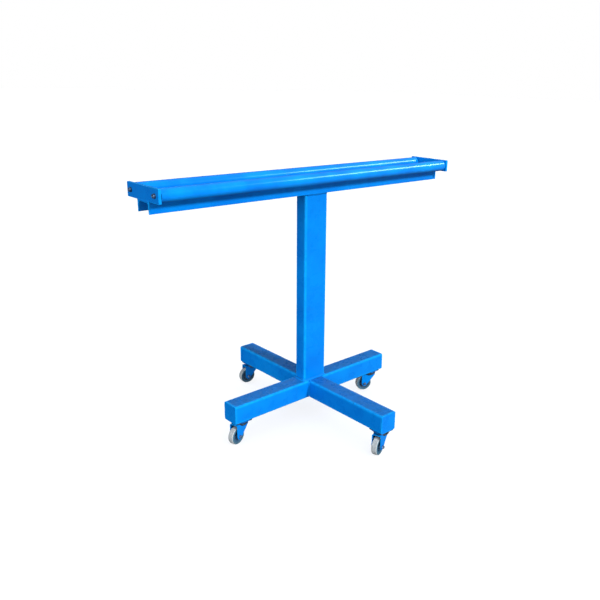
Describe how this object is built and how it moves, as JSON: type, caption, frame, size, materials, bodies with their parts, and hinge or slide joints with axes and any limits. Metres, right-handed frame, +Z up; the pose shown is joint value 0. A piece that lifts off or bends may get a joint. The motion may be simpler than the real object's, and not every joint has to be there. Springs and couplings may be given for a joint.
{
  "type": "roller stand trolley",
  "caption": "Mobile tyre stand: long twin rollers between end plates on a channel beam, carried by a single column on a cross base with swivel castors.",
  "frame": {"origin": "on the floor under the column's axis, midway between the beam's ends", "axes": "+X along the rollers, +Y across them, +Z up"},
  "size_m": [1.516, 0.9604, 1.099],
  "materials": {
    "blue_paint": "gloss paint",
    "roller_paint": "gloss paint, worn along the top",
    "steel": "bright zinc",
    "dark_steel": "blackened",
    "wheel_rubber": "matt grey, scuffed",
    "wheel_core": "dark moulded plastic"
  },
  "bodies": {
    "stand": {"base_bar": "blue_paint", "base_stub_left": "blue_paint", "base_stub_right": "blue_paint", "base_cap_left": "blue_paint", "base_cap_right": "blue_paint", "base_cap_front": "blue_paint", "base_cap_back": "blue_paint", "column": "blue_paint", "roller_beam_web": "blue_paint", "roller_beam_flange_front": "blue_paint", "roller_beam_flange_back": "blue_paint", "end_plate_left": "blue_paint", "end_plate_right": "blue_paint", "roller_front_shaft": "steel", "roller_front_clip_left": "dark_steel", "roller_front_clip_right": "dark_steel", "roller_back_shaft": "steel", "roller_back_clip_left": "dark_steel", "roller_back_clip_right": "dark_steel", "castor_a_mount_plate": "dark_steel", "castor_a_kingpin": "dark_steel", "castor_b_mount_plate": "dark_steel", "castor_b_kingpin": "dark_steel", "castor_c_mount_plate": "dark_steel", "castor_c_kingpin": "dark_steel", "castor_d_mount_plate": "dark_steel", "castor_d_kingpin": "dark_steel"},
    "roller_front": {"roller_front_tube": "roller_paint", "roller_front_hub_left": "dark_steel", "roller_front_hub_right": "dark_steel", "roller_front_bearing_left": "steel", "roller_front_bearing_right": "steel"},
    "roller_back": {"roller_back_tube": "roller_paint", "roller_back_hub_left": "dark_steel", "roller_back_hub_right": "dark_steel", "roller_back_bearing_left": "steel", "roller_back_bearing_right": "steel"},
    "castor_a_swivel": {"castor_a_fork": "blue_paint", "castor_a_axle_bolt": "steel", "castor_a_axle_nut": "steel"},
    "castor_a_wheel": {"castor_a_tread": "wheel_rubber", "castor_a_core": "wheel_core"},
    "castor_b_swivel": {"castor_b_fork": "blue_paint", "castor_b_axle_bolt": "steel", "castor_b_axle_nut": "steel"},
    "castor_b_wheel": {"castor_b_tread": "wheel_rubber", "castor_b_core": "wheel_core"},
    "castor_c_swivel": {"castor_c_fork": "blue_paint", "castor_c_axle_bolt": "steel", "castor_c_axle_nut": "steel"},
    "castor_c_wheel": {"castor_c_tread": "wheel_rubber", "castor_c_core": "wheel_core"},
    "castor_d_swivel": {"castor_d_fork": "blue_paint", "castor_d_axle_bolt": "steel", "castor_d_axle_nut": "steel"},
    "castor_d_wheel": {"castor_d_tread": "wheel_rubber", "castor_d_core": "wheel_core"}
  },
  "joints": [
    {"name": "roller_front_spin", "type": "hinge", "parent": "stand", "child": "roller_front", "pos_m": [0, -0.082, 1.073], "axis": [1, 0, 0], "continuous": true},
    {"name": "roller_back_spin", "type": "hinge", "parent": "stand", "child": "roller_back", "pos_m": [0, 0.082, 1.073], "axis": [1, 0, 0], "continuous": true},
    {"name": "castor_a_swivel", "type": "hinge", "parent": "stand", "child": "castor_a_swivel", "pos_m": [-0.38, 0, 0.092], "axis": [0, 0, 1], "continuous": true},
    {"name": "castor_a_roll", "type": "hinge", "parent": "castor_a_swivel", "child": "castor_a_wheel", "pos_m": [-0.40717, -0.00677, 0.0375], "axis": [0.2419, -0.9703, 0], "continuous": true},
    {"name": "castor_b_swivel", "type": "hinge", "parent": "stand", "child": "castor_b_swivel", "pos_m": [0, -0.442, 0.092], "axis": [0, 0, 1], "continuous": true},
    {"name": "castor_b_roll", "type": "hinge", "parent": "castor_b_swivel", "child": "castor_b_wheel", "pos_m": [-0.02663, -0.45065, 0.0375], "axis": [0.309, -0.9511, 0], "continuous": true},
    {"name": "castor_c_swivel", "type": "hinge", "parent": "stand", "child": "castor_c_swivel", "pos_m": [0, 0.442, 0.092], "axis": [0, 0, 1], "continuous": true},
    {"name": "castor_c_roll", "type": "hinge", "parent": "castor_c_swivel", "child": "castor_c_wheel", "pos_m": [-0.02757, 0.44686, 0.0375], "axis": [-0.1736, -0.9848, 0], "continuous": true},
    {"name": "castor_d_swivel", "type": "hinge", "parent": "stand", "child": "castor_d_swivel", "pos_m": [0.38, 0, 0.092], "axis": [0, 0, 1], "continuous": true},
    {"name": "castor_d_roll", "type": "hinge", "parent": "castor_d_swivel", "child": "castor_d_wheel", "pos_m": [0.35442, 0.01139, 0.0375], "axis": [-0.4067, -0.9135, 0], "continuous": true}
  ]
}
